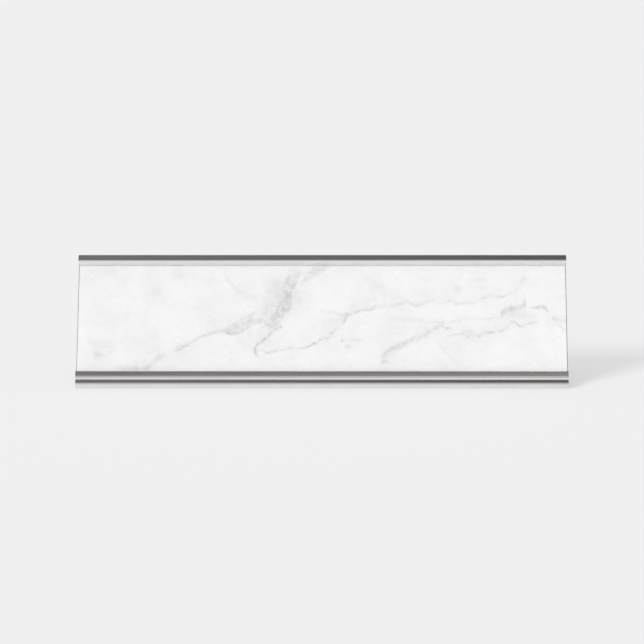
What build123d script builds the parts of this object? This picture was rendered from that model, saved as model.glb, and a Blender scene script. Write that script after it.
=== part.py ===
from build123d import *
from math import cos, radians, sin, tan
import os

# A desk name plate: a printed plate that slides endways into an extruded aluminium holder.
# Millimetres. +X runs along the plate, the front faces -Y, +Z is up.
# The origin is on the desk, under the middle of the holder.

# Name plate: a rigid core with a printed film bonded to its front
PLATE_HEIGHT = 50.8
CORE_THICKNESS = 1.5
FILM_THICKNESS = 0.1
PLATE_CORNER_RADIUS = 0.5

# How the plate sits in the holder's slot: it lies back on the panel, so most of the room is in front
BACK_CLEARANCE = 0.08
FRONT_CLEARANCE = 0.22
SEAT_CLEARANCE = 0.1
HEAD_CLEARANCE = 0.4
END_SETBACK = 0.4

# Holder: the leaning panel, with a lip along its top and bottom that holds the plate
HOLDER_LENGTH = 203.2
LEAN_ANGLE = 24.0
PANEL_WALL = 1.4
LIP_WALL = 1.8
LIP_OVERLAP = 2.5
SLOT_FLOOR_WALL = 0.95
HOOK_TOP_WALL = 1.45
HOOK_RADIUS = 2.75
HOOK_BACK_RADIUS = 1.2
HOOK_TIP_RADIUS = 1.55
LIP_BEVEL_TOP = 0.55
LIP_BEVEL_ANGLE = 7.0
LIP_FOOT_RADIUS = 0.9
LIP_TIP_RADIUS = 0.45

# Holder: the foot, with a rounded toe in front, a thin web and a rounded heel bead behind
FOOT_DEPTH = 39.0
SEAT_HEIGHT = 3.0
TOE_REACH = 4.2
TOE_CROWN = 1.25
TOE_RADIUS = 3.25
TOE_RUNNER = 4.0
TOE_EDGE_RADIUS = 0.15
WEB_WALL = 1.5
HEEL_RADIUS = 1.25
HEEL_BLEND_RADIUS = 0.5
RELIEF_CORNER_RADIUS = 0.4
CROTCH_RADIUS = 3.0

# Non-slip pads in the relief under the web
PAD_DIAMETER = 9.0
PAD_THICKNESS = 1.0
PAD_EDGE_RADIUS = 0.25
PAD_END_INSET = 16.0
PAD_SIDE_GAP = 1.2
DESK_GAP = 0.05

toe_front = -FOOT_DEPTH / 2
heel_back = FOOT_DEPTH / 2
seat_y = toe_front + TOE_REACH

slot_width = BACK_CLEARANCE + CORE_THICKNESS + FILM_THICKNESS + FRONT_CLEARANCE
slot_height = SEAT_CLEARANCE + PLATE_HEIGHT + HEAD_CLEARANCE
plate_length = HOLDER_LENGTH - 2 * END_SETBACK

# The panel is drawn upright, with the slot's rear bottom corner at zero, and then leans back about it
leaning = Pos(seat_y, SEAT_HEIGHT) * Rot(0, 0, -LEAN_ANGLE)
lip_front = -slot_width - LIP_WALL
crown = slot_height + HOOK_TOP_WALL
lower_lip_top = SEAT_CLEARANCE + LIP_OVERLAP
upper_lip_bottom = SEAT_CLEARANCE + PLATE_HEIGHT - LIP_OVERLAP
lip_foot = lip_front + (LIP_BEVEL_TOP + SLOT_FLOOR_WALL) * tan(radians(LIP_BEVEL_ANGLE))


def block(left, bottom, right, top):
    """A rectangle given by its four sides."""
    middle = Pos((left + right) / 2, (bottom + top) / 2)
    return middle * Rectangle(right - left, top - bottom)


def rounded(sketch, radius, *points):
    """The sketch with the corners nearest to the points rounded."""
    corners = [sketch.vertices().sort_by_distance((*point, 0))[0] for point in points]
    return fillet(corners, radius)


def leaned(x, y):
    """Where a point of the upright drawing lies once the panel leans."""
    place = (leaning * Pos(x, y)).position
    return place.X, place.Y


def upright_section():
    """Panel, hook and lips as one rounded block, before the slot is cut."""
    section = Polygon(
        (lip_front, crown),
        (lip_front, LIP_BEVEL_TOP),
        (lip_foot, -SLOT_FLOOR_WALL),
        (PANEL_WALL, -SLOT_FLOOR_WALL),
        (PANEL_WALL, crown),
        align=None,
    )
    section = rounded(section, HOOK_RADIUS, (lip_front, crown))
    section = rounded(section, HOOK_BACK_RADIUS, (PANEL_WALL, crown))
    return rounded(section, LIP_FOOT_RADIUS, (lip_foot, -SLOT_FLOOR_WALL))


def foot_section():
    """Toe, web and heel bead, with the relief for the pads underneath."""
    toe_top = SEAT_HEIGHT + TOE_CROWN
    toe = block(toe_front, DESK_GAP, seat_y, toe_top)
    toe = rounded(toe, TOE_RADIUS, (toe_front, toe_top))
    toe = rounded(toe, TOE_EDGE_RADIUS, (toe_front, DESK_GAP))
    relief = block(toe_front + TOE_RUNNER, DESK_GAP, heel_back, PAD_THICKNESS)
    web = block(
        toe_front + TOE_RUNNER, PAD_THICKNESS, heel_back - HEEL_RADIUS, PAD_THICKNESS + WEB_WALL
    )
    heel = Pos(heel_back - HEEL_RADIUS, DESK_GAP + HEEL_RADIUS) * Circle(HEEL_RADIUS)
    section = toe - relief + web + heel
    section = rounded(section, RELIEF_CORNER_RADIUS, (toe_front + TOE_RUNNER, PAD_THICKNESS))
    heel_front = heel_back - 2 * HEEL_RADIUS
    web_corners = (heel_front, PAD_THICKNESS), (heel_front, PAD_THICKNESS + WEB_WALL)
    return rounded(section, HEEL_BLEND_RADIUS, *web_corners)


def holder_section():
    """The whole section of the extrusion."""
    slot = block(-slot_width, 0, 0, slot_height)
    window = block(lip_front, lower_lip_top, -slot_width, upper_lip_bottom)
    section = foot_section() + leaning * upright_section() - leaning * (slot + window)
    section = rounded(section, HOOK_TIP_RADIUS, leaned(lip_front, upper_lip_bottom))
    section = rounded(section, LIP_TIP_RADIUS, leaned(lip_front, lower_lip_top))
    web_top = PAD_THICKNESS + WEB_WALL
    panel_back_y = leaned(PANEL_WALL, 0)[0]
    return rounded(section, CROTCH_RADIUS, (panel_back_y, web_top))


def holder():
    """The section extruded to length, half to each side of the middle."""
    return extrude(Plane.YZ * holder_section(), HOLDER_LENGTH / 2, both=True)


def plate_layer(thickness, behind):
    """One layer of the plate, with the thickness of what lies behind it."""
    lean = radians(LEAN_ANGLE)
    panel_face = Plane(
        origin=(0, seat_y, SEAT_HEIGHT), x_dir=(1, 0, 0), z_dir=(0, -cos(lean), sin(lean))
    )
    centre = Pos(0, SEAT_CLEARANCE + PLATE_HEIGHT / 2, BACK_CLEARANCE + behind)
    outline = RectangleRounded(plate_length, PLATE_HEIGHT, PLATE_CORNER_RADIUS)
    return panel_face * centre * extrude(outline, thickness)


def pad(x, y):
    """A round pad with its lower rim softened."""
    disc = extrude(Circle(PAD_DIAMETER / 2), PAD_THICKNESS)
    lower_rim = disc.edges().sort_by(Axis.Z)[0]
    return Pos(x, y, 0) * fillet(lower_rim, PAD_EDGE_RADIUS)


pieces = {
    "holder": holder(),
    "plate_core": plate_layer(CORE_THICKNESS, 0),
    "printed_face": plate_layer(FILM_THICKNESS, CORE_THICKNESS),
}

pad_x = HOLDER_LENGTH / 2 - PAD_END_INSET
pad_front_y = toe_front + TOE_RUNNER + PAD_SIDE_GAP + PAD_DIAMETER / 2
pad_rear_y = heel_back - 2 * HEEL_RADIUS - PAD_SIDE_GAP - PAD_DIAMETER / 2
for row, y in (("front", pad_front_y), ("rear", pad_rear_y)):
    for side, x in (("left", -pad_x), ("right", pad_x)):
        pieces[f"foot_pad_{row}_{side}"] = pad(x, y)

os.makedirs("parts", exist_ok=True)
for name, shape in pieces.items():
    export_step(shape, f"parts/{name}.step")
    size = shape.bounding_box().size
    print(f"{name}: {shape.volume:.1f} mm3, {size.X:.1f} x {size.Y:.1f} x {size.Z:.1f} mm")
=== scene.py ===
# %% [markdown]
# # A desk name plate in a bright aluminium holder
# The object has two parts that come apart by hand: a thin printed plate, and an extruded holder that it
# slides into from one end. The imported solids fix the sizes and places, so they are loaded first and never
# moved. What follows dresses them: finer meshes where light would show a facet, and a finish for each piece.

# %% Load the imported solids
from math import atan2, cos, degrees, pi, radians, sin, sqrt, tan

import bmesh
import bpy
from mathutils import Matrix, Vector


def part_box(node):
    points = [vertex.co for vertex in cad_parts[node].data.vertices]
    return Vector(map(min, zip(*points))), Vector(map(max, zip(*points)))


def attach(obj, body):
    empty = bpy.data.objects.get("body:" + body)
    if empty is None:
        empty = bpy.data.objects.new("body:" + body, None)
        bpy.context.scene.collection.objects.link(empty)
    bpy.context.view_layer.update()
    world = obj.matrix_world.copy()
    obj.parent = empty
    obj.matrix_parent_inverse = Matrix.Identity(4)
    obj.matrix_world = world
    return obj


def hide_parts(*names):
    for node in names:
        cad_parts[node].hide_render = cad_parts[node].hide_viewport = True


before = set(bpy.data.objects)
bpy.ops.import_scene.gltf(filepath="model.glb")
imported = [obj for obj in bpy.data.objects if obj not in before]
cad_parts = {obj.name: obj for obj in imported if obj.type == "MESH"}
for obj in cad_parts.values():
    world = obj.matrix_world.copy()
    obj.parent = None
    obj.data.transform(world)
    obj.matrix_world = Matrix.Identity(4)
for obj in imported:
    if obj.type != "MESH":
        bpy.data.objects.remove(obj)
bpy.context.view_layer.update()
scene = bpy.context.scene
MM = 0.001

# %% [markdown]
# ## The camera
# The photograph is taken from nearly straight in front with a long lens, a little above the plate. The widths
# of the top and bottom edges give the distance, and the visible height gives how far down the camera looks.
# The two ends differ by a pixel or two, which gives a step of under a degree to the right and a slight roll.
# A long lens keeps the ends nearly upright, so the field of view is narrow and needs no shift.

# %% Camera
CAMERA_DISTANCE = 1.02
CAMERA_DOWN = radians(10.5)
CAMERA_SIDE = radians(0.8)
CAMERA_ROLL = radians(-0.13)
CAMERA_AIM = Vector((0.00006, -0.0085, 0.02569))
LENS = 137.7
SENSOR = 36.0

camera = bpy.data.objects.new("camera", bpy.data.cameras.new("camera"))
scene.collection.objects.link(camera)
camera.data.lens = LENS
camera.data.sensor_width = SENSOR
turn = Matrix.Rotation(CAMERA_SIDE, 4, "Z") @ Matrix.Rotation(pi / 2 - CAMERA_DOWN, 4, "X")
towards_camera = turn @ Vector((0, 0, 1))
camera.location = CAMERA_AIM + CAMERA_DISTANCE * towards_camera
camera.rotation_euler = (turn @ Matrix.Rotation(CAMERA_ROLL, 4, "Z")).to_euler()
scene.camera = camera
print(f"Camera {CAMERA_DISTANCE} m away, looking down {degrees(CAMERA_DOWN):.1f} degrees")

# %% [markdown]
# ## The section of the holder
# An extrusion is one outline pushed through a die, so the whole holder is one outline and one length. It
# could be cut from boxes with booleans, but the edges would be dirty. Here the outline is drawn point by
# point in the YZ plane, its round stretches are spun from a vertex, and the face is extruded once.
# The panel is drawn upright, with the back corner of the slot at zero, and every point then leans back.
# The sizes are those of the solid, apart from the tip of the hook. It is drawn 0.2 mm longer and rounder,
# because that is how far down the photograph shows it.

# %% Sizes of the section
LEAN = radians(24.0)
FOOT_DEPTH = 39.0 * MM
SEAT_HEIGHT = 3.0 * MM
TOE_REACH = 4.2 * MM
SLOT_WIDTH = 1.9 * MM
SLOT_HEIGHT = 51.3 * MM
PANEL_WALL = 1.4 * MM
LIP_WALL = 1.8 * MM
LOWER_LIP_TOP = 2.6 * MM
UPPER_LIP_BOTTOM = 48.2 * MM
SLOT_FLOOR_WALL = 0.95 * MM
HOOK_TOP_WALL = 1.45 * MM
DESK_GAP = 0.05 * MM
WEB_BOTTOM = 1.0 * MM
WEB_TOP = 2.5 * MM
LIP_BEVEL_TOP = 0.55 * MM
LIP_BEVEL = radians(7.0)

toe_front = -FOOT_DEPTH / 2
heel_back = FOOT_DEPTH / 2
seat = Vector((toe_front + TOE_REACH, SEAT_HEIGHT))
lip_front = -SLOT_WIDTH - LIP_WALL
crown = SLOT_HEIGHT + HOOK_TOP_WALL


def leaned(across, up):
    """Where a point of the upright drawing lies in the YZ plane once the panel leans."""
    return seat + Vector((across * cos(LEAN) + up * sin(LEAN), up * cos(LEAN) - across * sin(LEAN)))


print(f"Top of the hook is {leaned(PANEL_WALL, crown).y / MM:.1f} mm above the desk")

# %% [markdown]
# ## A pen for outlines
# Three strokes are enough: a straight line, an arc about a centre, and a rounded corner between two lines.
# The arcs are finely divided, because polished metal mirrors every facet.

# %% Drawing helpers
ARC_STEP = radians(5.0)


class OutlinePen:
    """Draws a closed outline in the YZ plane of a bmesh, at one X."""

    def __init__(self, mesh, x, start):
        self.mesh, self.x = mesh, x
        self.first = self.vert = mesh.verts.new((x, *start))

    def point(self):
        """Where the pen is now."""
        return Vector((self.vert.co.y, self.vert.co.z))

    def line(self, point):
        """A straight line to the point."""
        fresh = self.mesh.verts.new((self.x, *point))
        self.mesh.edges.new((self.vert, fresh))
        self.vert = fresh

    def arc(self, centre, turn):
        """Turns about the centre, anticlockwise as seen from +X."""
        steps = max(2, round(abs(turn) / ARC_STEP))
        spun = bmesh.ops.spin(
            self.mesh, geom=[self.vert], cent=(self.x, *centre), axis=(1, 0, 0), dvec=(0, 0, 0),
            angle=turn, steps=steps, use_merge=False,
        )
        self.vert = next(g for g in spun["geom_last"] if isinstance(g, bmesh.types.BMVert))

    def corner(self, corner, towards, radius):
        """A line up to the corner and an arc of the radius round it, ending on the way to the next point."""
        back = (self.point() - corner).normalized()
        on = (towards - corner).normalized()
        half = back.angle(on) / 2
        self.line(corner + back * radius / tan(half))
        centre = corner + (back + on).normalized() * radius / sin(half)
        self.arc(centre, swing(self.point() - centre, corner + on * radius / tan(half) - centre))

    def close(self):
        """A line back to the start, and the face inside."""
        self.mesh.edges.new((self.vert, self.first))
        return bmesh.ops.contextual_create(self.mesh, geom=self.mesh.edges[:])["faces"][0]


def swing(before, after):
    """The signed turn from one direction to another, the short way round."""
    turn = atan2(after.y, after.x) - atan2(before.y, before.x)
    return (turn + pi) % (2 * pi) - pi


print("Arc step", round(degrees(ARC_STEP), 1), "degrees")

# %% [markdown]
# ## Round stretches
# A die has no sharp corners, so nearly every corner of the section is round. Two meetings have to be worked
# out: the valley where the toe and the foot of the lip cross, and the small hollows where the web runs into
# the heel bead. A guessed point would leave a kink there, and a kink shows as a line in the reflection.

# %% Radii and meetings
TOE_RADIUS = 3.25 * MM
TOE_CROWN = 1.25 * MM
TOE_RUNNER = 4.0 * MM
TOE_EDGE_RADIUS = 0.15 * MM
LIP_FOOT_RADIUS = 0.9 * MM
LIP_TIP_RADIUS = 0.45 * MM
HOOK_TIP_RADIUS = 1.75 * MM
HOOK_RADIUS = 2.75 * MM
HOOK_BACK_RADIUS = 1.2 * MM
CROTCH_RADIUS = 3.0 * MM
HEEL_RADIUS = 1.25 * MM
HEEL_BLEND_RADIUS = 0.5 * MM
RELIEF_CORNER_RADIUS = 0.4 * MM


def circles_meet(centre_a, radius_a, centre_b, radius_b):
    """The crossing of two circles that lies to the left of the way from a to b."""
    gap = centre_b - centre_a
    along = (radius_a**2 - radius_b**2 + gap.length_squared) / (2 * gap.length)
    aside = sqrt(radius_a**2 - along**2)
    way = gap.normalized()
    return centre_a + way * along + Vector((-way.y, way.x)) * aside


def blend_centre(heel_centre, height):
    """The centre of a small arc, at that height, that touches the heel bead from the web's side."""
    reach = HEEL_RADIUS + HEEL_BLEND_RADIUS
    return Vector((heel_centre.x - sqrt(reach**2 - (height - heel_centre.y) ** 2), height))


print(f"Radius of the toe {TOE_RADIUS / MM:.2f} mm, of the hook {HOOK_RADIUS / MM:.2f} mm")

# %% [markdown]
# ## Toe and lower lip
# The outline starts under the front of the foot. It goes round the toe, down into the valley behind it and up
# the lower lip, whose foot has a slight bevel.

# %% Toe and lower lip
HOLDER_LENGTH = 203.2 * MM

mesh = bmesh.new()
pen = OutlinePen(mesh, -HOLDER_LENGTH / 2, (toe_front + TOE_RUNNER, DESK_GAP))
toe_centre = Vector((toe_front + TOE_RADIUS, SEAT_HEIGHT + TOE_CROWN - TOE_RADIUS))
pen.corner(Vector((toe_front, DESK_GAP)), Vector((toe_front, toe_centre.y)), TOE_EDGE_RADIUS)
pen.line(toe_centre - Vector((TOE_RADIUS, 0)))

foot_up = LIP_FOOT_RADIUS - SLOT_FLOOR_WALL
bevel_end_up = foot_up - LIP_FOOT_RADIUS * sin(LIP_BEVEL)
bevel_end_across = lip_front + (LIP_BEVEL_TOP - bevel_end_up) * tan(LIP_BEVEL)
foot_centre = leaned(bevel_end_across + LIP_FOOT_RADIUS * cos(LIP_BEVEL), foot_up)
bevel_end = leaned(bevel_end_across, bevel_end_up)
valley = circles_meet(toe_centre, TOE_RADIUS, foot_centre, LIP_FOOT_RADIUS)
pen.arc(toe_centre, swing(pen.point() - toe_centre, valley - toe_centre))
pen.arc(foot_centre, swing(valley - foot_centre, bevel_end - foot_centre))
pen.line(leaned(lip_front, LIP_BEVEL_TOP))
pen.corner(leaned(lip_front, LOWER_LIP_TOP), leaned(-SLOT_WIDTH, LOWER_LIP_TOP), LIP_TIP_RADIUS)
print(f"The valley is {valley.y / MM:.2f} mm up, under a toe {(SEAT_HEIGHT + TOE_CROWN) / MM:.2f} mm high")

# %% [markdown]
# ## Slot and hook
# The plate stands in the slot, between the lower lip and the panel. At the top the hook curls over it and
# ends in a rounded tip.

# %% Slot and hook
for across, up in (
    (-SLOT_WIDTH, LOWER_LIP_TOP),
    (-SLOT_WIDTH, 0),
    (0, 0),
    (0, SLOT_HEIGHT),
    (-SLOT_WIDTH, SLOT_HEIGHT),
    (-SLOT_WIDTH, UPPER_LIP_BOTTOM),
):
    pen.line(leaned(across, up))
pen.corner(leaned(lip_front, UPPER_LIP_BOTTOM), leaned(lip_front, crown), HOOK_TIP_RADIUS)
pen.corner(leaned(lip_front, crown), leaned(PANEL_WALL, crown), HOOK_RADIUS)
print(f"The hook covers the top {(SLOT_HEIGHT - UPPER_LIP_BOTTOM) / MM:.1f} mm of the slot")

# %% [markdown]
# ## Back, web and heel
# The outline comes down the back of the panel and runs along the web, round the heel bead and back below the
# web. The web stands clear of the desk, which leaves room for the pads.

# %% Back, web and heel
panel_back = leaned(PANEL_WALL, 0)
crotch = panel_back + Vector((tan(LEAN), 1.0)) * (WEB_TOP - panel_back.y)
pen.corner(leaned(PANEL_WALL, crown), crotch, HOOK_BACK_RADIUS)

heel_centre = Vector((heel_back - HEEL_RADIUS, DESK_GAP + HEEL_RADIUS))
upper_blend = blend_centre(heel_centre, WEB_TOP + HEEL_BLEND_RADIUS)
lower_blend = blend_centre(heel_centre, WEB_BOTTOM - HEEL_BLEND_RADIUS)
pen.corner(crotch, upper_blend - Vector((0, HEEL_BLEND_RADIUS)), CROTCH_RADIUS)
pen.line(upper_blend - Vector((0, HEEL_BLEND_RADIUS)))
pen.arc(upper_blend, swing(Vector((0, -1)), heel_centre - upper_blend))
pen.arc(heel_centre, swing(pen.point() - heel_centre, Vector((0, 1))))
pen.arc(heel_centre, -pi)
pen.arc(heel_centre, swing(Vector((0, -1)), lower_blend - heel_centre))
pen.arc(lower_blend, swing(heel_centre - lower_blend, Vector((0, 1))))
relief = Vector((toe_front + TOE_RUNNER, WEB_BOTTOM))
pen.corner(relief, Vector((relief.x, DESK_GAP)), RELIEF_CORNER_RADIUS)
end_face = pen.close()
print(f"Section of {len(end_face.verts)} points and {end_face.calc_area() / MM**2:.0f} square mm")

# %% [markdown]
# ## From mesh to piece
# Every piece is handed over in the same way. Its faces point outwards, and an edge is shaded smooth unless it
# is sharp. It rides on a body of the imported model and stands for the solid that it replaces. A Weighted
# Normal modifier keeps broad faces flat beside thin bevels, which would otherwise bend the reflections.

# %% A finished piece
SHARP_ANGLE = radians(40.0)
LENGTHWISE = 0.2


def new_piece(name, mesh, body, slot, *nodes, crease=SHARP_ANGLE):
    """Turns a bmesh into a piece on a body; lengthwise edges are sharp from the crease angle on."""
    data = bpy.data.meshes.new(name)
    bmesh.ops.recalc_face_normals(mesh, faces=mesh.faces[:])
    for face in mesh.faces:
        face.smooth = True
    for edge in mesh.edges:
        lengthwise = abs((edge.verts[0].co - edge.verts[1].co).normalized().x) > LENGTHWISE
        edge.smooth = edge.calc_face_angle(0.0) < (crease if lengthwise else SHARP_ANGLE)
    mesh.to_mesh(data)
    mesh.free()
    piece = bpy.data.objects.new(name, data)
    scene.collection.objects.link(piece)
    weighted = piece.modifiers.new("even faces", "WEIGHTED_NORMAL")
    weighted.keep_sharp = True
    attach(piece, body)
    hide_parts(*nodes)
    print(f"{name}: {len(data.vertices)} vertices, {len(data.polygons)} faces")
    return piece


print("Solids to replace:", list(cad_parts))

# %% [markdown]
# ## The holder
# The section is extruded to the other end. The saw leaves a sharp burr, which is filed off, so both ends get
# a very small bevel. The two long edges of the panel stay square, because a filed edge would glint beside the
# plate. The flat cut faces take a second finish.

# %% Holder mesh
DEBURR = 0.25 * MM
DEBURR_STEPS = 3
LONGEST_FILED = 0.9 * SLOT_HEIGHT
CREASE_ANGLE = radians(6.0)
FACING = 0.99
CUT_SLOT = 1


def push(mesh, faces, way):
    """Extrudes faces and moves their new end by that way."""
    pushed = bmesh.ops.extrude_face_region(mesh, geom=faces)
    far = [g for g in pushed["geom"] if isinstance(g, bmesh.types.BMVert)]
    bmesh.ops.translate(mesh, verts=far, vec=way)
    bmesh.ops.recalc_face_normals(mesh, faces=mesh.faces[:])
    mesh.normal_update()


def faces_along(mesh, axis):
    """The faces square to an axis: 0 is X, 1 is Y and 2 is Z."""
    return [face for face in mesh.faces if abs(face.normal[axis]) > FACING]


push(mesh, [end_face], (HOLDER_LENGTH, 0, 0))
rims = [e for face in faces_along(mesh, 0) for e in face.edges if e.calc_length() < LONGEST_FILED]
bmesh.ops.bevel(
    mesh, geom=rims, offset=DEBURR, segments=DEBURR_STEPS, profile=0.5, affect="EDGES", material=-1,
    clamp_overlap=True,
)
mesh.normal_update()
for face in faces_along(mesh, 0):
    face.material_index = CUT_SLOT
holder = new_piece(
    "holder_extrusion", mesh, "holder", "bright_aluminium", "holder", crease=CREASE_ANGLE
)

# %% [markdown]
# ## The plate
# A rigid white core with a printed film on its front. Both are the same rounded rectangle, so one helper
# makes them: a grid of one face, its corners rounded, pushed out to its thickness and its edges eased.

# %% Plate layers
PLATE_LENGTH = 202.4 * MM
PLATE_HEIGHT = 50.8 * MM
PLATE_CORNER_RADIUS = 0.5 * MM
CORNER_STEPS = 6
CORE_THICKNESS = 1.5 * MM
CORE_EASE = 0.1 * MM
FILM_THICKNESS = 0.1 * MM
FILM_EASE = 0.03 * MM
EASE_STEPS = 2
BACK_CLEARANCE = 0.08 * MM
SEAT_CLEARANCE = 0.1 * MM

panel_face = Matrix.Translation((0, *seat)) @ Matrix.Rotation(pi / 2 - LEAN, 4, "X")
plate_middle = SEAT_CLEARANCE + PLATE_HEIGHT / 2


def plate_layer(behind, thickness, ease):
    """A rounded sheet on the panel, that far out from its face."""
    mesh = bmesh.new()
    bmesh.ops.create_grid(mesh, x_segments=1, y_segments=1, size=0.5)
    bmesh.ops.scale(mesh, verts=mesh.verts[:], vec=(PLATE_LENGTH, PLATE_HEIGHT, 1))
    bmesh.ops.bevel(
        mesh, geom=mesh.verts[:], offset=PLATE_CORNER_RADIUS, segments=CORNER_STEPS, profile=0.5,
        affect="VERTICES", material=-1,
    )
    push(mesh, mesh.faces[:], (0, 0, thickness))
    rims = [edge for face in faces_along(mesh, 2) for edge in face.edges]
    bmesh.ops.bevel(
        mesh, geom=rims, offset=ease, segments=EASE_STEPS, profile=0.5, affect="EDGES", material=-1
    )
    place = panel_face @ Matrix.Translation((0, plate_middle, BACK_CLEARANCE + behind))
    bmesh.ops.transform(mesh, verts=mesh.verts[:], matrix=place)
    return mesh


core_mesh = plate_layer(0.0, CORE_THICKNESS, CORE_EASE)
core = new_piece("plate_core_sheet", core_mesh, "name_plate", "white_core", "plate_core")
film_mesh = plate_layer(CORE_THICKNESS, FILM_THICKNESS, FILM_EASE)
film = new_piece("printed_film", film_mesh, "name_plate", "marble_print", "printed_face")

# %% [markdown]
# ## The pads
# Four thin rubber discs keep the metal off the desk. Each is a circle, pushed up and eased round its rim.

# %% Foot pads
PAD_SIDES = 64
PAD_EASE = 0.25 * MM
PAD_EASE_STEPS = 4


def foot_pad(solid):
    """A rubber disc in the box of its solid."""
    low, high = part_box(solid)
    mesh = bmesh.new()
    bmesh.ops.create_circle(mesh, cap_ends=True, radius=(high.x - low.x) / 2, segments=PAD_SIDES)
    push(mesh, mesh.faces[:], (0, 0, high.z - low.z))
    lower_rim = [edge for edge in mesh.edges if max(vert.co.z for vert in edge.verts) < PAD_EASE]
    bmesh.ops.bevel(
        mesh, geom=lower_rim, offset=PAD_EASE, segments=PAD_EASE_STEPS, profile=0.5, affect="EDGES",
        material=-1,
    )
    middle = ((low.x + high.x) / 2, (low.y + high.y) / 2, low.z)
    bmesh.ops.translate(mesh, verts=mesh.verts[:], vec=middle)
    return new_piece(f"{solid}_disc", mesh, "holder", "pad_rubber", solid)


pads = [foot_pad(solid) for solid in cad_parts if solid.startswith("foot_pad")]

# %% [markdown]
# ## Two patterns that several finishes share
# Each finish is a small net of nodes, and a few helpers keep the nets readable. Two patterns come up again
# and again, so they are node groups, and each finish sets its own scale. Fine lines are what a tool leaves:
# the die along the extrusion, the saw across its ends and across the core. They are noise, stretched a long
# way in one direction. Soft mottle is the slow unevenness of handled or moulded surfaces.

# %% Fine lines
LINE_NOISE = (1.0, 3.0, 0.6)
LINE_CONTRAST = (0.25, 0.75)


def node(tree, kind, wired=None, **settings):
    """Adds a node with its settings, then sets or wires its inputs by name."""
    made = tree.nodes.new("ShaderNode" + kind)
    for name, value in settings.items():
        setattr(made, name, value)
    for name, value in (wired or {}).items():
        if isinstance(value, bpy.types.NodeSocket):
            tree.links.new(value, made.inputs[name])
        else:
            made.inputs[name].default_value = value
    return made


def noise(tree, vector, scale, detail, roughness):
    """The outputs of a Noise Texture node."""
    wired = {"Vector": vector, "Scale": scale, "Detail": detail, "Roughness": roughness}
    return node(tree, "TexNoise", wired).outputs


def spread(tree, value, low, high, to_low=0.0, to_high=1.0):
    """A value taken smoothly from one range to another."""
    wired = {"Value": value, "From Min": low, "From Max": high, "To Min": to_low, "To Max": to_high}
    return node(tree, "MapRange", wired, interpolation_type="SMOOTHSTEP").outputs["Result"]


def new_group(name, inputs, outputs):
    """An empty node group: the group, what it is given and where its results go."""
    group = bpy.data.node_groups.new(name, "ShaderNodeTree")
    for socket, kind in inputs.items():
        group.interface.new_socket(socket, in_out="INPUT", socket_type=f"NodeSocket{kind}")
    for socket, kind in outputs.items():
        group.interface.new_socket(socket, in_out="OUTPUT", socket_type=f"NodeSocket{kind}")
    return group, group.nodes.new("NodeGroupInput").outputs, group.nodes.new("NodeGroupOutput").inputs


fine_lines, given, result = new_group(
    "fine_lines", {"Vector": "Vector", "Lines": "Vector"}, {"Height": "Float"}
)
stretched = node(fine_lines, "VectorMath", {0: given["Vector"], 1: given["Lines"]}, operation="MULTIPLY")
lines = noise(fine_lines, stretched.outputs["Vector"], *LINE_NOISE)["Fac"]
fine_lines.links.new(spread(fine_lines, lines, *LINE_CONTRAST), result["Height"])
print("Nodes in fine_lines:", len(fine_lines.nodes))

# %% Soft mottle
MOTTLE_DETAIL = (4.0, 0.55)
MOTTLE_CONTRAST = (0.32, 0.68)

soft_mottle, given, result = new_group(
    "soft_mottle", {"Vector": "Vector", "Scale": "Float"}, {"Amount": "Float"}
)
mottle = noise(soft_mottle, given["Vector"], given["Scale"], *MOTTLE_DETAIL)["Fac"]
soft_mottle.links.new(spread(soft_mottle, mottle, *MOTTLE_CONTRAST), result["Amount"])
print("Shared groups:", [group.name for group in bpy.data.node_groups])

# %% [markdown]
# ## Bright aluminium
# The extrusion is polished and clear anodised, so it is a soft mirror with faint lines along its length,
# where the die scratched it. Smudges from handling dull it in slow patches. All patterns read Object
# coordinates, scaled so that one unit is a millimetre.

# %% Patterns of the metal
DIE_LINES = (0.006, 1.1, 1.1)
SMUDGE_SCALE = 0.09


def new_material(name):
    """A new material: the material, its node tree and its Principled shader."""
    material = bpy.data.materials.new(name)
    material.use_nodes = True
    return material, material.node_tree, material.node_tree.nodes["Principled BSDF"]


def new_finish(name):
    """A new material, its node tree and shader, and the place on its piece in millimetres."""
    material, tree, shader = new_material(name)
    place = node(tree, "TexCoord").outputs["Object"]
    scaled = node(tree, "Mapping", {"Vector": place, "Scale": (1 / MM, 1 / MM, 1 / MM)})
    return material, tree, shader, scaled.outputs["Vector"]


def placed(tree, group, **inputs):
    """The output of a node group placed in a tree, with its inputs given by name."""
    return node(tree, "Group", inputs, node_tree=group).outputs[0]


aluminium, tree, shader, mm = new_finish("bright_aluminium")
lines = placed(tree, fine_lines, Vector=mm, Lines=DIE_LINES)
smudges = placed(tree, soft_mottle, Vector=mm, Scale=SMUDGE_SCALE)

# %% [markdown]
# ## Colour and gloss of the metal
# A finish mixes two tones by a pattern, adds patterns to a base roughness and lets a height tilt the normal.
# The die lines tilt it by a fraction of a degree. The Principled shader stays in the material itself, where
# an exporter can read it.

# %% Colour and gloss of the metal
CLEAN_METAL = (0.85, 0.85, 0.855, 1)
SMUDGED_METAL = (0.825, 0.825, 0.83, 1)
BRIGHT_ROUGHNESS = 0.13
LINE_ROUGHNESS = 0.08
SMUDGE_ROUGHNESS = 0.05
DIE_LINE_DEPTH = 0.004 * MM


def sum_of(tree, operation, *values):
    """One Math node."""
    return node(tree, "Math", dict(enumerate(values)), operation=operation).outputs[0]


def two_tones(tree, shader, pattern, tone, other_tone):
    """Lets a pattern mix two colours."""
    mixed = node(tree, "Mix", {"Factor": pattern, "A": tone, "B": other_tone}, data_type="RGBA")
    tree.links.new(mixed.outputs["Result"], shader.inputs["Base Color"])


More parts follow.
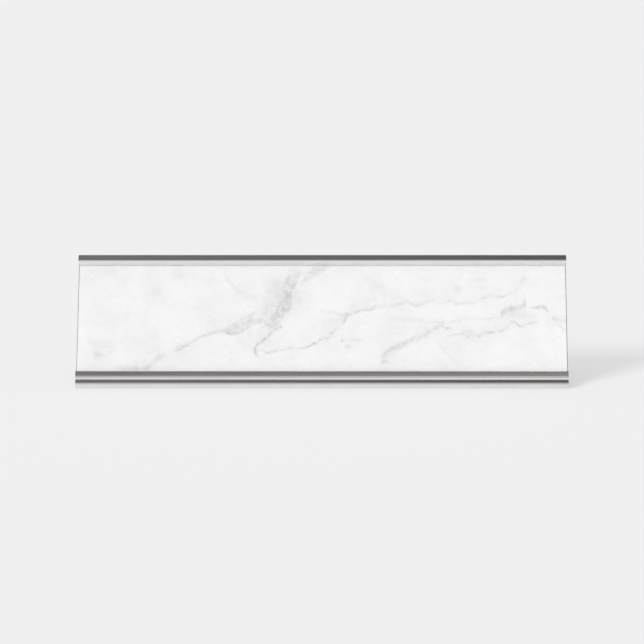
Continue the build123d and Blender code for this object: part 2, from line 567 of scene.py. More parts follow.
def roughened(tree, shader, base, *patterns):
    """Adds patterns, each with its share, to a base roughness."""
    roughness = base
    for pattern, share in patterns:
        roughness = sum_of(tree, "MULTIPLY_ADD", pattern, share, roughness)
    tree.links.new(roughness, shader.inputs["Roughness"])


def bumped(tree, shader, height, depth):
    """Lets a height pattern of that depth tilt the shader's normal."""
    bump = node(tree, "Bump", {"Height": height, "Distance": depth})
    tree.links.new(bump.outputs["Normal"], shader.inputs["Normal"])


def dress(material, *pieces):
    """Puts a material on pieces."""
    for piece in pieces:
        piece.data.materials.append(material)
    print(f"{material.name}: {len(material.node_tree.nodes)} nodes, on {[piece.name for piece in pieces]}")


two_tones(tree, shader, smudges, CLEAN_METAL, SMUDGED_METAL)
roughened(tree, shader, BRIGHT_ROUGHNESS, (lines, LINE_ROUGHNESS), (smudges, SMUDGE_ROUGHNESS))
shader.inputs["Metallic"].default_value = 1.0
bumped(tree, shader, lines, DIE_LINE_DEPTH)
dress(aluminium, holder)

# %% [markdown]
# ## Cut ends
# The saw leaves the ends matt, with fine parallel scratches across the section. A raised scratch is brighter
# and a little smoother.

# %% Cut aluminium
SAW_LINES = (0.1, 0.25, 5.0)
SAW_TILT = radians(18.0)
SAW_DEPTH = 0.02 * MM
CUT_PATCH_SCALE = 0.5
CUT_METAL = (0.74, 0.74, 0.75, 1)
SCRATCHED_METAL = (0.82, 0.82, 0.825, 1)
CUT_ROUGHNESS = 0.44
SCRATCH_ROUGHNESS = -0.12
PATCH_ROUGHNESS = 0.06

cut_aluminium, tree, shader, mm = new_finish("cut_aluminium")
turned = node(tree, "Mapping", {"Vector": mm, "Rotation": (SAW_TILT, 0, 0)}).outputs["Vector"]
scratches = placed(tree, fine_lines, Vector=turned, Lines=SAW_LINES)
patches = placed(tree, soft_mottle, Vector=mm, Scale=CUT_PATCH_SCALE)
two_tones(tree, shader, scratches, CUT_METAL, SCRATCHED_METAL)
roughened(tree, shader, CUT_ROUGHNESS, (scratches, SCRATCH_ROUGHNESS), (patches, PATCH_ROUGHNESS))
shader.inputs["Metallic"].default_value = 1.0
bumped(tree, shader, scratches, SAW_DEPTH)
dress(cut_aluminium, holder)

# %% [markdown]
# ## White core
# A rigid white plastic sheet, cut to size on a saw. Its broad faces are a little uneven, and the cut shows as
# lines along the edges. It is seen only at the open ends, or when the plate is drawn out.

# %% White core
CORE_LINES = (0.3, 0.3, 9.0)
CORE_LINE_DEPTH = 0.015 * MM
CORE_PATCH_SCALE = 0.35
CORE_WHITE = (0.84, 0.84, 0.83, 1)
CORE_SHADE = (0.80, 0.80, 0.79, 1)
CORE_ROUGHNESS = 0.48
CORE_PATCH_ROUGHNESS = 0.12

white_core, tree, shader, mm = new_finish("white_core")
on_sheet = node(tree, "Mapping", {"Vector": mm, "Rotation": (LEAN - pi / 2, 0, 0)}).outputs["Vector"]
saw = placed(tree, fine_lines, Vector=on_sheet, Lines=CORE_LINES)
uneven = placed(tree, soft_mottle, Vector=mm, Scale=CORE_PATCH_SCALE)
two_tones(tree, shader, uneven, CORE_WHITE, CORE_SHADE)
roughened(tree, shader, CORE_ROUGHNESS, (uneven, CORE_PATCH_ROUGHNESS))
bumped(tree, shader, saw, CORE_LINE_DEPTH)
dress(white_core, core)

# %% [markdown]
# ## Marble print
# White marble is milky stone with slow grey clouds. Its veins are old cracks that filled with darker mineral:
# a thin broken line, often with a grey haze on one side. Noise alone gives clouds but no veins that run where
# they should. So each vein is drawn as a curve on the plate, in millimetres from its middle. A point's
# distance from that curve gives the line and the haze, and noise bends and breaks them.

# %% Place on the plate
BENDS = ((0.3, 1.5), (1.3, 1.2))
BEND_DETAIL = (3.0, 0.6)
NOISE_MIDDLE = (0.5, 0.5, 0.5)
GAP_NOISE = (0.6, 4.0, 0.65)
GRAIN_NOISE = (0.45, 4.0, 0.65)

marble, stone, marble_shader, mm = new_finish("marble_print")
film_middle = panel_face @ Vector((0, plate_middle, BACK_CLEARANCE + CORE_THICKNESS + FILM_THICKNESS))
on_plate = node(
    stone, "Mapping",
    {"Vector": mm, "Location": film_middle / MM, "Rotation": (pi / 2 - LEAN, 0, 0)},
    vector_type="TEXTURE",
).outputs["Vector"]
bent = on_plate
for scale, reach in BENDS:
    bend = noise(stone, on_plate, scale, *BEND_DETAIL)["Color"]
    centred = node(stone, "VectorMath", {0: bend, 1: NOISE_MIDDLE}, operation="SUBTRACT")
    moved = node(stone, "VectorMath", {0: centred.outputs["Vector"], "Scale": reach}, operation="SCALE")
    added = node(stone, "VectorMath", {0: bent, 1: moved.outputs["Vector"]}, operation="ADD")
    bent = added.outputs["Vector"]
place = node(stone, "SeparateXYZ", {0: bent}).outputs
gaps = noise(stone, on_plate, *GAP_NOISE)["Fac"]
grain = noise(stone, on_plate, *GRAIN_NOISE)["Fac"]
print("Middle of the print in mm:", [round(c / MM, 2) for c in film_middle])

# %% [markdown]
# ## One vein
# A vein is a thin line that breaks off and goes on, a haze beside it that may be wider above than below, and
# a mist beyond. All three depend on the distance from the vein's path. So one node group makes them for every
# vein: it is given the offset from the path, and it puts out how grey the stone is there.

# %% One vein as a node group
VEIN_INPUTS = (
    "Offset", "Strength", "Gaps", "Grain", "Line Width", "Line Grey",
    "Haze Above", "Haze Below", "Haze Grey", "Speckle",
)
LINE_BREAKS = (0.36, 0.62, 0.2, 1.25)
LINE_DABS = (0.34, 0.6, 0.45, 1.15)
HAZE_SPECKLES = (0.36, 0.68, 0.2, 1.6)
MIST_REACH = 3.2
MIST_SHARE = 0.2

vein, given, result = new_group("marble_vein", dict.fromkeys(VEIN_INPUTS, "Float"), {"Grey": "Float"})
distance = sum_of(vein, "ABSOLUTE", given["Offset"])
broken = spread(vein, given["Gaps"], *LINE_BREAKS)
dabbed = spread(vein, given["Grain"], *LINE_DABS)
line = spread(vein, distance, sum_of(vein, "MULTIPLY", given["Line Width"], broken), 0.0)
line = sum_of(vein, "MULTIPLY", sum_of(vein, "MULTIPLY", line, broken), dabbed)
line_grey = sum_of(vein, "MULTIPLY", line, given["Line Grey"])
is_above = sum_of(vein, "GREATER_THAN", given["Offset"], 0.0)
reach = node(vein, "Mix", {"Factor": is_above, "A": given["Haze Below"], "B": given["Haze Above"]})
reaches = sum_of(vein, "DIVIDE", distance, reach.outputs["Result"])
speckles = spread(vein, given["Grain"], *HAZE_SPECKLES)
speckled = node(vein, "Mix", {"Factor": given["Speckle"], "A": 1.0, "B": speckles}).outputs["Result"]
haze = sum_of(vein, "MULTIPLY", spread(vein, reaches, 1.0, 0.0), speckled)
mist = sum_of(vein, "MULTIPLY", spread(vein, reaches, MIST_REACH, 0.0, 0.0, MIST_SHARE), speckles)
haze_grey = sum_of(vein, "MULTIPLY", sum_of(vein, "ADD", haze, mist), given["Haze Grey"])
both = sum_of(vein, "ADD", line_grey, haze_grey)
vein.links.new(sum_of(vein, "MULTIPLY", both, given["Strength"]), result["Grey"])
print("Nodes in a vein:", len(vein.nodes))

# %% [markdown]
# ## Drawing a vein
# A Float Curve node holds any path that runs one way. So a vein is a row of points, each with its place along
# the plate, its height and its strength, and two curves take the share of the way to the path and to the
# strength. A vein that climbs steeply is ordered by height instead. Each vein is added to those before it.
# The first one lies low near the left end and is more speckle than line.

# %% Vein helpers and the first vein
PATH_MARGIN = 1
veins_drawn = []


def curve_through(value, points):
    """A Float Curve node through the points, which lie between 0 and 1."""
    made = node(stone, "FloatCurve", {"Value": value})
    line = made.mapping.curves[0]
    line.points[0].location, line.points[1].location = points[0], points[-1]
    for point in points[1:-1]:
        line.points.new(*point)
    for point in line.points:
        point.handle_type = "AUTO_CLAMPED"
    made.mapping.update()
    return made.outputs["Value"]


def draw_vein(points, line=(0.4, 0.0), haze=(1.0, 1.0, 0.0), speckle=0.0, upright=False):
    """Adds a vein: its points, its line's width and grey, and its haze's reach above and below and grey."""
    run, off = (1, 0) if upright else (0, 1)
    points = sorted(points, key=lambda point: point[run])
    first, last = points[0][run], points[-1][run]
    low = min(point[off] for point in points) - PATH_MARGIN
    span = max(point[off] for point in points) + PATH_MARGIN - low
    share = node(
        stone, "MapRange", {"Value": place[run], "From Min": first, "From Max": last}
    ).outputs["Result"]
    shares = [(point[run] - first) / (last - first) for point in points]
    path = curve_through(share, [(s, (p[off] - low) / span) for s, p in zip(shares, points)])
    strength = curve_through(share, [(s, p[2]) for s, p in zip(shares, points)])
    offset = sum_of(stone, "SUBTRACT", place[off], sum_of(stone, "MULTIPLY_ADD", path, span, low))
    wired = {
        "Offset": offset, "Strength": strength, "Gaps": gaps, "Grain": grain,
        "Line Width": line[0], "Line Grey": line[1],
        "Haze Above": haze[0], "Haze Below": haze[1], "Haze Grey": haze[2], "Speckle": speckle,
    }
    grey = node(stone, "Group", wired, node_tree=vein).outputs["Grey"]
    veins_drawn.append(sum_of(stone, "ADD", veins_drawn[-1], grey) if veins_drawn else grey)


draw_vein(
    ((-86.0, -21.3, 0), (-82.7, -21.5, 0.5), (-77.3, -22.0, 0.9), (-73.6, -21.6, 1), (-71.6, -20.6, 0.8),
     (-69.1, -18.2, 0.7), (-65.5, -16.1, 0.6), (-62.1, -14.8, 0)),
    line=(0.88, 0.05), haze=(2.8, 2.2, 0.25), speckle=0.9,
)
print("Nodes of the print after one vein:", len(stone.nodes))

# %% [markdown]
# ## Veins from the left end to the ribbon
# From the speckled start, a clear line climbs to the right and forks before it meets the smoky ribbon.
# A faint haze goes with it. Three hazes with no line lie at the left end.

# %% Veins from the left end to the smoky ribbon
draw_vein(
    ((-61.5, -14.6, 0), (-59.0, -13.6, 1), (-56.7, -12.2, 0.9), (-53.2, -10.1, 0.7), (-49.8, -8.0, 0.65),
     (-46.4, -6.8, 0.7), (-42.2, -5.9, 0.8), (-39.5, -6.1, 1), (-36.7, -6.6, 1), (-33.6, -5.9, 0.9),
     (-31.2, -4.4, 0.6), (-28.9, -3.3, 0.3), (-26.2, -2.7, 0)),
    line=(0.95, 0.29), haze=(2.2, 1.0, 0.19),
)
draw_vein(
    ((-42.4, -5.8, 0), (-38.1, -3.7, 0.7), (-34.7, -1.3, 0.9), (-29.9, 1.3, 0.8), (-27.0, 2.4, 0)),
    line=(0.88, 0.15), haze=(1.4, 1.4, 0.12),
)
draw_vein(
    ((-37.0, -4.8, 0), (-36.0, -4.4, 0.6), (-33.6, -3.0, 0.8), (-30.5, -1.6, 0.6), (-28.7, -1.0, 0)),
    line=(0.66, 0.15),
)
draw_vein(
    ((-42.5, -5.6, 0), (-37.8, -5.0, 0.7), (-34.5, -3.6, 1), (-31.2, -1.8, 1), (-28.7, -1.0, 0.9),
     (-25.8, -1.6, 0.7), (-22.2, -2.8, 0.4), (-18.8, -3.2, 0)),
    haze=(3.0, 2.8, 0.25), speckle=0.5,
)
draw_vein(
    ((-95.2, -15.3, 0), (-92.9, -15.5, 1), (-90.9, -15.9, 0.7), (-88.4, -16.7, 0)),
    haze=(2.2, 1.8, 0.22), speckle=0.3,
)
draw_vein(
    ((-98.0, -10.0, 0), (-93.0, -11.0, 1), (-89.0, -11.5, 0.8), (-84.0, -13.0, 0)),
    haze=(4.5, 4.0, 0.10),
)
draw_vein(
    ((-102.0, 17.0, 0.8), (-97.0, 18.0, 1), (-90.0, 19.0, 1), (-84.0, 20.5, 0)),
    haze=(5.0, 4.0, 0.05),
)
print("Veins so far:", len(veins_drawn))

# %% [markdown]
# ## The smoky ribbon
# Where several cracks ran side by side, the mineral spread between them as smoke. So the ribbon is one
# wide, speckled haze with two thin lines in it. It climbs steeply, so most of it is drawn upright.

# %% The smoky ribbon
draw_vein(
    ((-9.5, 22.0, 0), (-11.4, 18.6, 0.5), (-13.2, 14.5, 0.7), (-14.7, 10.2, 0.9), (-15.1, 6.7, 1),
     (-15.6, 4.2, 1), (-17.5, 2.0, 0.9), (-19.2, -0.5, 0.8), (-20.8, -3.1, 0.5), (-22.9, -5.0, 0)),
    haze=(4.4, 4.8, 0.42), speckle=0.75, upright=True,
)
draw_vein(
    ((-10.9, 19.4, 0), (-13.6, 17.5, 0.6), (-15.5, 14.9, 0.7), (-16.3, 11.9, 0.5), (-16.7, 8.9, 0.6),
     (-17.6, 5.5, 0.8), (-18.8, 2.5, 0.8), (-20.0, -0.5, 0.8), (-22.1, -3.1, 0.5), (-23.2, -4.4, 0)),
    line=(0.88, 0.12), haze=(1.0, 1.0, 0.07), upright=True,
)
draw_vein(
    ((-10.5, 19.6, 0), (-10.9, 15.3, 0.8), (-12.6, 11.9, 0.7), (-13.4, 8.9, 0.8), (-13.0, 5.9, 1),
     (-14.2, 2.9, 0.8), (-16.3, 0.3, 0.6), (-17.5, -1.4, 0.7), (-17.1, -3.7, 0.5), (-17.0, -4.6, 0)),
    line=(0.88, 0.15), haze=(1.0, 1.0, 0.07), upright=True,
)
draw_vein(
    ((-18.0, 17.5, 0), (-19.5, 13.0, 1), (-20.5, 8.0, 0.9), (-22.5, 3.0, 0.8), (-25.0, -1.5, 0)),
    haze=(4.5, 6.0, 0.11), upright=True,
)
draw_vein(
    ((-9.5, 14.5, 0), (-6.4, 17.4, 0.8), (-3.4, 19.6, 1), (0.3, 21.3, 0.8), (4.0, 22.5, 0)),
    haze=(3.4, 2.8, 0.26), speckle=0.5,
)
draw_vein(
    ((-42.0, 18.5, 0), (-40.0, 17.2, 0.8), (-35.5, 12.3, 1), (-30.0, 8.9, 0.7), (-24.0, 7.0, 0)),
    haze=(2.2, 2.2, 0.11), speckle=0.3,
)
print("Veins so far:", len(veins_drawn))

# %% [markdown]
# ## From the ribbon to the middle
# The dark lines at the foot of the ribbon fall to the left, turn back and run to the right as one long,
# low vein. A few small spots lie beyond its end.

# %% Veins from the ribbon to the middle
draw_vein(
    ((-15.9, -3.3, 0), (-17.0, -3.7, 0.8), (-19.5, -5.1, 0.9), (-22.2, -7.6, 0.8), (-24.9, -10.1, 1),
     (-27.0, -11.9, 1), (-28.2, -13.3, 0)),
    line=(1.2, 0.34), haze=(2.0, 1.0, 0.19),
)
draw_vein(
    ((-27.2, -11.4, 0), (-27.5, -12.4, 0.9), (-27.7, -13.6, 1), (-26.6, -16.1, 0.9), (-26.3, -17.3, 0)),
    line=(1.15, 0.32), haze=(1.0, 1.0, 0.17), upright=True,
)
draw_vein(
    ((-26.2, -13.3, 0), (-24.9, -13.6, 0.5), (-23.2, -14.6, 0.7), (-20.1, -14.1, 0.8),
     (-17.4, -13.6, 0.8), (-14.6, -13.0, 0.6), (-12.5, -12.6, 0.7), (-9.7, -13.0, 0.7),
     (-7.0, -12.4, 0.8), (-4.9, -11.4, 1), (-2.2, -10.6, 1), (-0.4, -8.9, 0.7), (3.1, -8.3, 1),
     (4.4, -6.5, 0.6), (5.4, -5.4, 0)),
    line=(0.83, 0.30), haze=(1.2, 1.2, 0.12),
)
draw_vein(
    ((3.4, -7.6, 0), (4.4, -5.9, 0.5), (7.0, -4.0, 0.3), (9.6, -1.5, 0.8), (10.1, 0.4, 1), (10.2, 1.6, 1),
     (10.4, 2.6, 0)),
    line=(0.94, 0.32), haze=(1.0, 2.4, 0.19), upright=True,
)
draw_vein(
    ((-2.0, -2.5, 0), (3.0, -1.5, 0.8), (7.0, -0.4, 1), (11.0, 2.2, 0.9), (16.0, 5.0, 0)),
    haze=(4.5, 4.0, 0.08), speckle=0.3,
)
draw_vein(
    ((-7.0, -12.4, 0), (-5.2, -11.5, 0.9), (-3.8, -11.1, 1), (-2.4, -10.7, 1), (-1.2, -9.8, 0)),
    line=(1.1, 0.22),
)
draw_vein(((-26.5, 5.2, 0), (-23.8, 5.2, 0.5), (-20.5, 5.2, 0.9), (-18.4, 5.2, 0)), line=(0.6, 0.14))
draw_vein(
    ((-1.4, 3.1, 0), (0.3, 2.9, 0.7), (4.5, 2.3, 0.8), (7.9, 1.3, 0.8), (10.4, 0.9, 0)),
    line=(0.66, 0.15), haze=(1.4, 1.2, 0.08),
)
draw_vein(((7.6, -9.6, 0), (8.5, -9.6, 1), (9.4, -9.6, 0)), haze=(0.9, 0.9, 0.44))
draw_vein(((9.2, -11.4, 0), (10.6, -11.9, 1), (12.4, -12.2, 0)), haze=(1.3, 1.3, 0.20))
draw_vein(((10.5, -9.2, 0), (14.0, -9.4, 1), (18.0, -9.7, 0)), haze=(1.3, 1.3, 0.14), speckle=0.3)
print("Veins so far:", len(veins_drawn))

# %% [markdown]
# ## The long vein of the right half
# One vein crosses most of the right half. It is thin and keeps breaking, so its strength changes from
# point to point. Its haze lies mostly above it.

# %% The long vein of the right half
draw_vein(
    ((10.2, 1.0, 0), (11.2, 1.4, 0.6), (13.5, 2.1, 0.8), (16.9, 3.4, 1), (21.1, 3.9, 1), (22.4, 5.2, 0.6),
     (28.0, 5.2, 0.5), (33.5, 5.9, 0.6), (35.6, 6.6, 0.8), (38.7, 5.3, 0.8), (41.8, 5.9, 0.6),
     (44.6, 7.2, 0.4), (48.8, 6.6, 0.2), (53.6, 7.5, 0.5), (55.7, 6.0, 0.7), (59.2, 6.6, 0.7),
     (62.9, 6.2, 0.4), (64.0, 7.3, 0.2), (68.2, 9.0, 0.7), (70.3, 9.4, 0.3), (74.4, 8.8, 0.8),
     (77.2, 10.0, 0.6), (80.4, 11.6, 0.4), (81.8, 13.4, 0)),
    line=(0.86, 0.30), haze=(2.2, 0.9, 0.14),
)
draw_vein(
    ((80.4, 11.4, 0), (82.8, 15.2, 0.5), (83.9, 16.3, 0.8), (84.0, 17.4, 0.6), (83.0, 18.6, 0)),
    line=(0.99, 0.11), haze=(1.8, 1.8, 0.14), speckle=0.5, upright=True,
)
draw_vein(
    ((17.0, 16.5, 0), (22.0, 13.6, 0.8), (26.0, 11.8, 1), (31.0, 9.2, 0.8), (36.0, 7.5, 0)),
    haze=(4.2, 4.6, 0.08), speckle=0.4,
)
draw_vein(((53.6, 12.5, 0), (56.0, 12.3, 1), (58.4, 12.0, 0)), haze=(2.4, 2.4, 0.16))
draw_vein(((63.0, 16.4, 0), (66.1, 16.6, 1), (69.0, 16.8, 0)), haze=(1.4, 1.4, 0.10))
print("Veins so far:", len(veins_drawn))

# %% [markdown]
# ## Veins below it
# Below the long vein, a hazy one climbs to the right, and thin ones run on from it, nearly level.

# %% Veins below it
draw_vein(
    ((24.6, -15.6, 0), (26.4, -14.6, 0.6), (28.6, -13.4, 0.7), (31.3, -12.2, 0.8), (36.2, -9.8, 0.9),
     (40.0, -8.3, 0.9), (43.1, -6.7, 0.8), (45.9, -5.1, 0.7), (48.7, -3.4, 0.7), (50.1, -2.7, 0.6),
     (51.0, -2.2, 0)),
    line=(0.88, 0.17), haze=(2.2, 2.4, 0.24), speckle=0.35,
)
draw_vein(
    ((24.0, -16.6, 0), (26.8, -15.3, 1), (29.5, -13.6, 1), (33.0, -12.0, 0.7), (37.0, -10.4, 0)),
    haze=(2.8, 2.8, 0.13), speckle=0.7,
)
draw_vein(((23.4, -18.7, 0), (25.4, -18.9, 1), (27.8, -18.5, 0)), haze=(1.3, 1.1, 0.24), speckle=0.3)
draw_vein(
    ((49.2, -2.9, 0), (50.2, -3.6, 0.6), (51.1, -4.4, 0.9), (52.8, -4.3, 0.8), (54.4, -4.8, 0)),
    line=(0.83, 0.27), haze=(1.0, 1.0, 0.10),
)
draw_vein(
    ((45.0, -1.8, 0), (48.0, -1.6, 0.7), (52.8, -1.9, 0.6), (59.7, -0.5, 0.7), (66.0, -0.2, 0.7),
     (72.9, 0.3, 0.8), (75.9, 0.9, 0)),
    line=(0.66, 0.14), haze=(1.2, 1.2, 0.07),
)
draw_vein(
    ((22.0, -0.5, 0), (30.0, -0.4, 0.8), (40.0, -1.0, 1), (47.0, -1.8, 0)),
    haze=(1.8, 1.8, 0.08), speckle=0.4,
)
draw_vein(
    ((50.8, -7.6, 0), (52.8, -7.5, 0.4), (55.5, -7.0, 0.5), (59.0, -7.3, 0.6), (60.3, -8.0, 0.7),
     (62.4, -7.3, 0.5), (65.2, -7.8, 0.7), (66.9, -6.4, 0.9), (69.4, -6.2, 0.9), (72.8, -5.7, 0.8),
     (74.9, -5.3, 0.8), (77.0, -3.7, 0.7), (78.0, -1.9, 0.7), (79.4, -1.6, 0.8), (82.2, -3.4, 0.9),
     (85.3, -2.5, 0.7), (87.7, -2.3, 0.9), (89.6, -2.0, 0)),
    line=(0.86, 0.30), haze=(1.5, 1.1, 0.14),
)
draw_vein(((57.5, -6.0, 0), (60.6, -5.6, 1), (63.0, -6.0, 0)), haze=(1.4, 1.4, 0.14), speckle=0.4)
draw_vein(
    ((47.0, -9.6, 0), (50.0, -13.0, 0.8), (55.2, -18.8, 0.6), (57.5, -21.5, 0)),
    haze=(1.5, 1.5, 0.10),
)
print("Veins so far:", len(veins_drawn))

# %% [markdown]
# ## The right end
# At the right end the veins are short and smoky, and two of them run off the edge.

# %% Smoke and short veins at the right end
draw_vein(
    ((73.8, 1.8, 0), (75.3, 2.7, 1), (78.5, 4.1, 0.9), (82.0, 4.6, 0.7), (83.7, 6.0, 0.9), (85.2, 6.4, 0)),
    line=(1.10, 0.13), haze=(2.1, 2.8, 0.34), speckle=0.35,
)
draw_vein(
    ((75.5, 1.6, 0), (79.5, 1.4, 0.9), (83.3, 0.8, 1), (87.0, 0.3, 0.8), (91.0, -0.3, 0)),
    haze=(3.4, 2.8, 0.11), speckle=0.3,
)
draw_vein(
    ((86.0, 4.4, 0), (87.8, 4.6, 0.5), (90.3, 4.6, 0.9), (92.4, 4.3, 1), (93.4, 3.3, 1), (94.0, 2.6, 0)),
    line=(1.3, 0.36), haze=(1.2, 1.6, 0.26),
)
draw_vein(
    ((94.8, 0.1, 0), (97.1, -0.2, 0.8), (99.0, -1.0, 0.7), (102.0, -0.9, 0.8)),
    line=(0.88, 0.18), haze=(1.2, 1.6, 0.16), speckle=0.4,
)
draw_vein(
    ((97.0, -2.2, 0), (99.1, -3.4, 0.8), (100.2, -4.8, 0.7), (102.0, -5.6, 0.7)),
    line=(0.88, 0.15), haze=(1.4, 1.2, 0.12), speckle=0.4,
)
print("Veins so far:", len(veins_drawn))

# %% [markdown]
# ## Slow clouds
# Between the veins the stone is faintly grey in places. A cloud there is a vein with no line: a short level
# path with a wide haze, a little speckled. Each row gives its middle, its reach and its grey.

# %% Slow clouds between the veins
CLOUD_STRETCH = 1.2
CLOUD_SPECKLE = 0.3
CLOUDS = (
    (-85.0, -1.0, 8.0, 0.06), (-74.0, -11.0, 8.0, 0.08), (-57.0, -15.5, 7.0, 0.09), (-69.0, 8.0, 6.0, 0.07),
    (-54.0, 17.0, 8.0, 0.05), (-41.0, -2.0, 7.0, 0.06), (-28.0, -9.5, 8.0, 0.09), (-19.0, -9.0, 7.0, 0.06),
    (17.0, 7.5, 6.0, 0.08), (45.0, 10.0, 9.0, 0.06), (45.0, -5.0, 7.0, 0.06), (-60.0, 18.5, 3.0, 0.09),
    (-45.0, 15.5, 3.0, 0.08), (-69.0, 11.0, 2.5, 0.08), (96.0, -1.5, 4.0, 0.07), (-8.0, 8.5, 6.0, 0.06),
)

for along, up, reach, grey in CLOUDS:
    half = CLOUD_STRETCH * reach
    draw_vein(
        ((along - half, up, 0), (along, up, 1), (along + half, up, 0)),
        haze=(reach, reach, grey), speckle=CLOUD_SPECKLE,
    )
print("Veins and clouds drawn:", len(veins_drawn))

# %% [markdown]
# ## Colour and gloss of the print
# The greys of all veins are added up. Where veins cross, the sum is held back, because the stone gets no
# darker than the mineral in it. The film over the print is glossy. Handling dulls it a little in slow
# patches, and its surface has a very faint peel.

# %% Colour of the print
STONE_WHITE = (0.922, 0.922, 0.922, 1)
STONE_CLOUD = (0.868, 0.868, 0.868, 1)
VEIN_GREY = (0.34, 0.34, 0.345, 1)
CLOUD_NOISE = (0.05, 5.0, 0.55)
CLOUD_CONTRAST = (0.38, 0.72)
FLECK_NOISE = (0.38, 2.0, 0.6)
FLECK_GREYS = (0.58, 0.78, 0.0, 0.09)
CROSSING_LIMIT = 0.5

cloudy = spread(stone, noise(stone, bent, *CLOUD_NOISE)["Fac"], *CLOUD_CONTRAST)
flecked = spread(stone, noise(stone, on_plate, *FLECK_NOISE)["Fac"], *FLECK_GREYS)
greyed = sum_of(stone, "ADD", veins_drawn[-1], flecked)
limited = sum_of(stone, "DIVIDE", greyed, sum_of(stone, "MULTIPLY_ADD", greyed, CROSSING_LIMIT, 1.0))
ground = node(stone, "Mix", {"Factor": cloudy, "A": STONE_WHITE, "B": STONE_CLOUD}, data_type="RGBA")
two_tones(stone, marble_shader, limited, ground.outputs["Result"], VEIN_GREY)
print("Nodes of the print:", len(stone.nodes))

# %% Gloss of the print
PRINT_ROUGHNESS = 0.24
HANDLED_SCALE = 0.12
HANDLED_ROUGHNESS = 0.08
PEEL_SCALE = 0.9
PEEL_DEPTH = 0.001 * MM

handled = placed(stone, soft_mottle, Vector=mm, Scale=HANDLED_SCALE)
roughened(stone, marble_shader, PRINT_ROUGHNESS, (handled, HANDLED_ROUGHNESS))
peel = placed(stone, soft_mottle, Vector=mm, Scale=PEEL_SCALE)
bumped(stone, marble_shader, peel, PEEL_DEPTH)
dress(marble, film)

# %% [markdown]
# ## Pad rubber
# Black rubber with a fine moulded grain. Desk dust greys it in patches.

# %% Pad rubber
DUST_SCALE = 0.6
PORE_NOISE = (4.0, 3.0, 0.5)
PORE_DEPTH = 0.08 * MM
CLEAN_RUBBER = (0.035, 0.035, 0.036, 1)
DUSTY_RUBBER = (0.07, 0.07, 0.068, 1)
RUBBER_ROUGHNESS = 0.65
DUST_ROUGHNESS = 0.2

rubber, tree, shader, mm = new_finish("pad_rubber")
dust = placed(tree, soft_mottle, Vector=mm, Scale=DUST_SCALE)
pores = noise(tree, mm, *PORE_NOISE)["Fac"]
two_tones(tree, shader, dust, CLEAN_RUBBER, DUSTY_RUBBER)
roughened(tree, shader, RUBBER_ROUGHNESS, (dust, DUST_ROUGHNESS))
bumped(tree, shader, pores, PORE_DEPTH)
dress(rubber, *pads)

# %% [markdown]
# ## Floor
# The floor is one pale sheet. A little over half of what is seen of it is its lit paint, which takes the
# shadow. The rest is the even tone of the backdrop, as on a lit table.

# %% Floor
FLOOR_SIZE = 16.0
FLOOR_DROP = 0.02 * MM
FLOOR_COLOUR = (0.93, 0.93, 0.93, 1)
FLOOR_ROUGHNESS = 0.9
BACKDROP = (0.87, 0.87, 0.87, 1)
EVEN_SHARE = 0.45

mesh = bmesh.new()
bmesh.ops.create_grid(mesh, x_segments=1, y_segments=1, size=FLOOR_SIZE / 2)
bmesh.ops.translate(mesh, verts=mesh.verts[:], vec=(0, 0, -FLOOR_DROP))
floor_data = bpy.data.meshes.new("floor")
mesh.to_mesh(floor_data)
mesh.free()
floor = bpy.data.objects.new("floor", floor_data)
scene.collection.objects.link(floor)

floor_paint, tree, shader = new_material("floor_paint")
shader.inputs["Base Color"].default_value = FLOOR_COLOUR
shader.inputs["Roughness"].default_value = FLOOR_ROUGHNESS
shader.inputs["Specular IOR Level"].default_value = 0.0
even = node(tree, "Emission", {"Color": BACKDROP}).outputs["Emission"]
rays = node(tree, "LightPath").outputs
looked_at = sum_of(tree, "MAXIMUM", rays["Is Camera Ray"], rays["Is Glossy Ray"])
share = sum_of(tree, "MULTIPLY", looked_at, EVEN_SHARE)
both = node(tree, "MixShader", {0: share, 1: shader.outputs["BSDF"], 2: even}).outputs["Shader"]
tree.links.new(both, tree.nodes["Material Output"].inputs["Surface"])
dress(floor_paint, floor)

# %% [markdown]
# ## Key lamp
# About half of the light is even and comes from all round. The rest comes from a wide lamp at the front left,
# which throws the soft shadow to the right. A sun lamp is enough, because its angle alone sets how soft the
# shadow is. Reflections leave it out: the metal should mirror a room and not a disc.

# %% Key lamp
KEY_HEIGHT = radians(31.0)
KEY_SIDE = radians(48.0)
KEY_WIDTH = radians(23.0)
KEY_STRENGTH = 1.7

key = bpy.data.objects.new("key_lamp", bpy.data.lights.new("key_lamp", "SUN"))
scene.collection.objects.link(key)
key.data.energy = KEY_STRENGTH
key.data.angle = KEY_WIDTH
key.rotation_euler = (pi / 2 - KEY_HEIGHT, 0.0, -KEY_SIDE)
key.visible_glossy = False
print("Key lamp shines towards", key.rotation_euler.to_matrix() @ Vector((0, 0, -1)))

# %% [markdown]
# ## The room that the metal mirrors
# Polished metal shows the room and not the light on it. The walls are pale and the ceiling is dark, which is
# what draws the light and dark bands on the lips. The rows give degrees up, brightness and warmth, and some
# clutter keeps the edges between them from being ruled. The top of the wall is brighter to the right and the
# ceiling to the left, so a second table gives degrees up and the brightness on either side.

# %% Mirrored room
ROOM_BY_HEIGHT = (
    (0, 0.76, 0.0), (14, 0.74, 0.025), (24, 0.46, 0.065), (31, 0.35, 0.05), (37, 0.15, 0.055),
    (45, 0.13, -0.015), (90, 0.13, -0.015),
)
CLUTTER_NOISE = (9.0, 1.0, 0.5)
CLUTTER = 0.10
SIDES_BY_HEIGHT = ((30, 0.7, 1.25), (45, 1.45, 0.7))
SIDE_BLEND = 5
SIDE_EDGE = 0.13

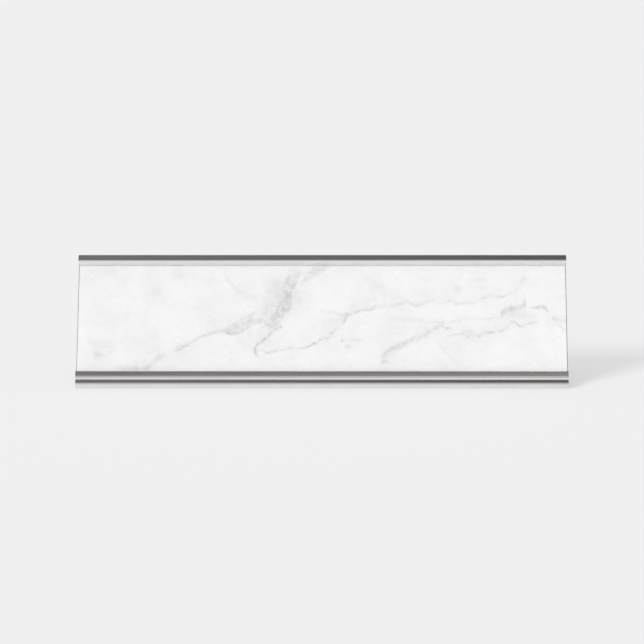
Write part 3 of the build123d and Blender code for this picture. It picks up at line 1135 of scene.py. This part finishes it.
world = bpy.data.worlds.new("room")
scene.world = world
world.use_nodes = True
tree = world.node_tree
direction = node(tree, "TexCoord").outputs["Generated"]
split = node(tree, "SeparateXYZ", {0: direction}).outputs
height = sum_of(tree, "ARCSINE", split["Z"])
clutter = noise(tree, direction, *CLUTTER_NOISE)["Fac"]
uneven = sum_of(tree, "MULTIPLY_ADD", clutter, 2 * CLUTTER, -CLUTTER)
share = sum_of(tree, "DIVIDE", sum_of(tree, "ADD", height, uneven), pi / 2)
room = node(tree, "ValToRGB", {"Fac": share})
stops = room.color_ramp.elements
while len(stops) < len(ROOM_BY_HEIGHT):
    stops.new(1.0)
for stop, (angle, level, warmth) in zip(stops, ROOM_BY_HEIGHT):
    stop.position = angle / 90
    stop.color = (level * (1 + warmth), level, level * (1 - warmth), 1)

balance = 1.0
for angle, left, right in SIDES_BY_HEIGHT:
    above = spread(tree, height, radians(angle - SIDE_BLEND), radians(angle + SIDE_BLEND))
    across = spread(tree, split["X"], -SIDE_EDGE, SIDE_EDGE, left, right)
    balance = node(tree, "Mix", {"Factor": above, "A": balance, "B": across}).outputs["Result"]
balanced = node(tree, "VectorMath", {0: room.outputs["Color"], "Scale": balance}, operation="SCALE")
print("Room from the floor up:", [round(stop.color[1], 2) for stop in stops])

# %% [markdown]
# ## What each ray sees
# Only a ray straight off a glossy surface sees that room. Matt surfaces are lit by an even sky instead, which
# is brighter above and to the left, and the camera sees the plain backdrop.

# %% Sky and backdrop
SKY_EVEN = 0.355
SKY_SLANT = Vector((-0.20, 0.06, 0.45))
FIRST_MATT_BOUNCE = 0.5

rays = node(tree, "LightPath").outputs
straight = sum_of(tree, "LESS_THAN", rays["Diffuse Depth"], FIRST_MATT_BOUNCE)
mirrored = sum_of(tree, "MULTIPLY", rays["Is Glossy Ray"], straight)
slant = node(tree, "VectorMath", {0: direction, 1: SKY_SLANT}, operation="DOT_PRODUCT").outputs["Value"]
sky = sum_of(tree, "ADD", slant, SKY_EVEN)
lit = node(
    tree, "Mix", {"Factor": mirrored, "A": sky, "B": balanced.outputs["Vector"]}, data_type="RGBA"
).outputs["Result"]
seen = node(
    tree, "Mix", {"Factor": rays["Is Camera Ray"], "A": lit, "B": BACKDROP}, data_type="RGBA"
).outputs["Result"]
tree.links.new(seen, tree.nodes["Background"].inputs["Color"])
scene.view_settings.view_transform = "Standard"
print(f"Sky straight up {SKY_EVEN + SKY_SLANT.z:.2f}, level to the left {SKY_EVEN - SKY_SLANT.x:.2f}")
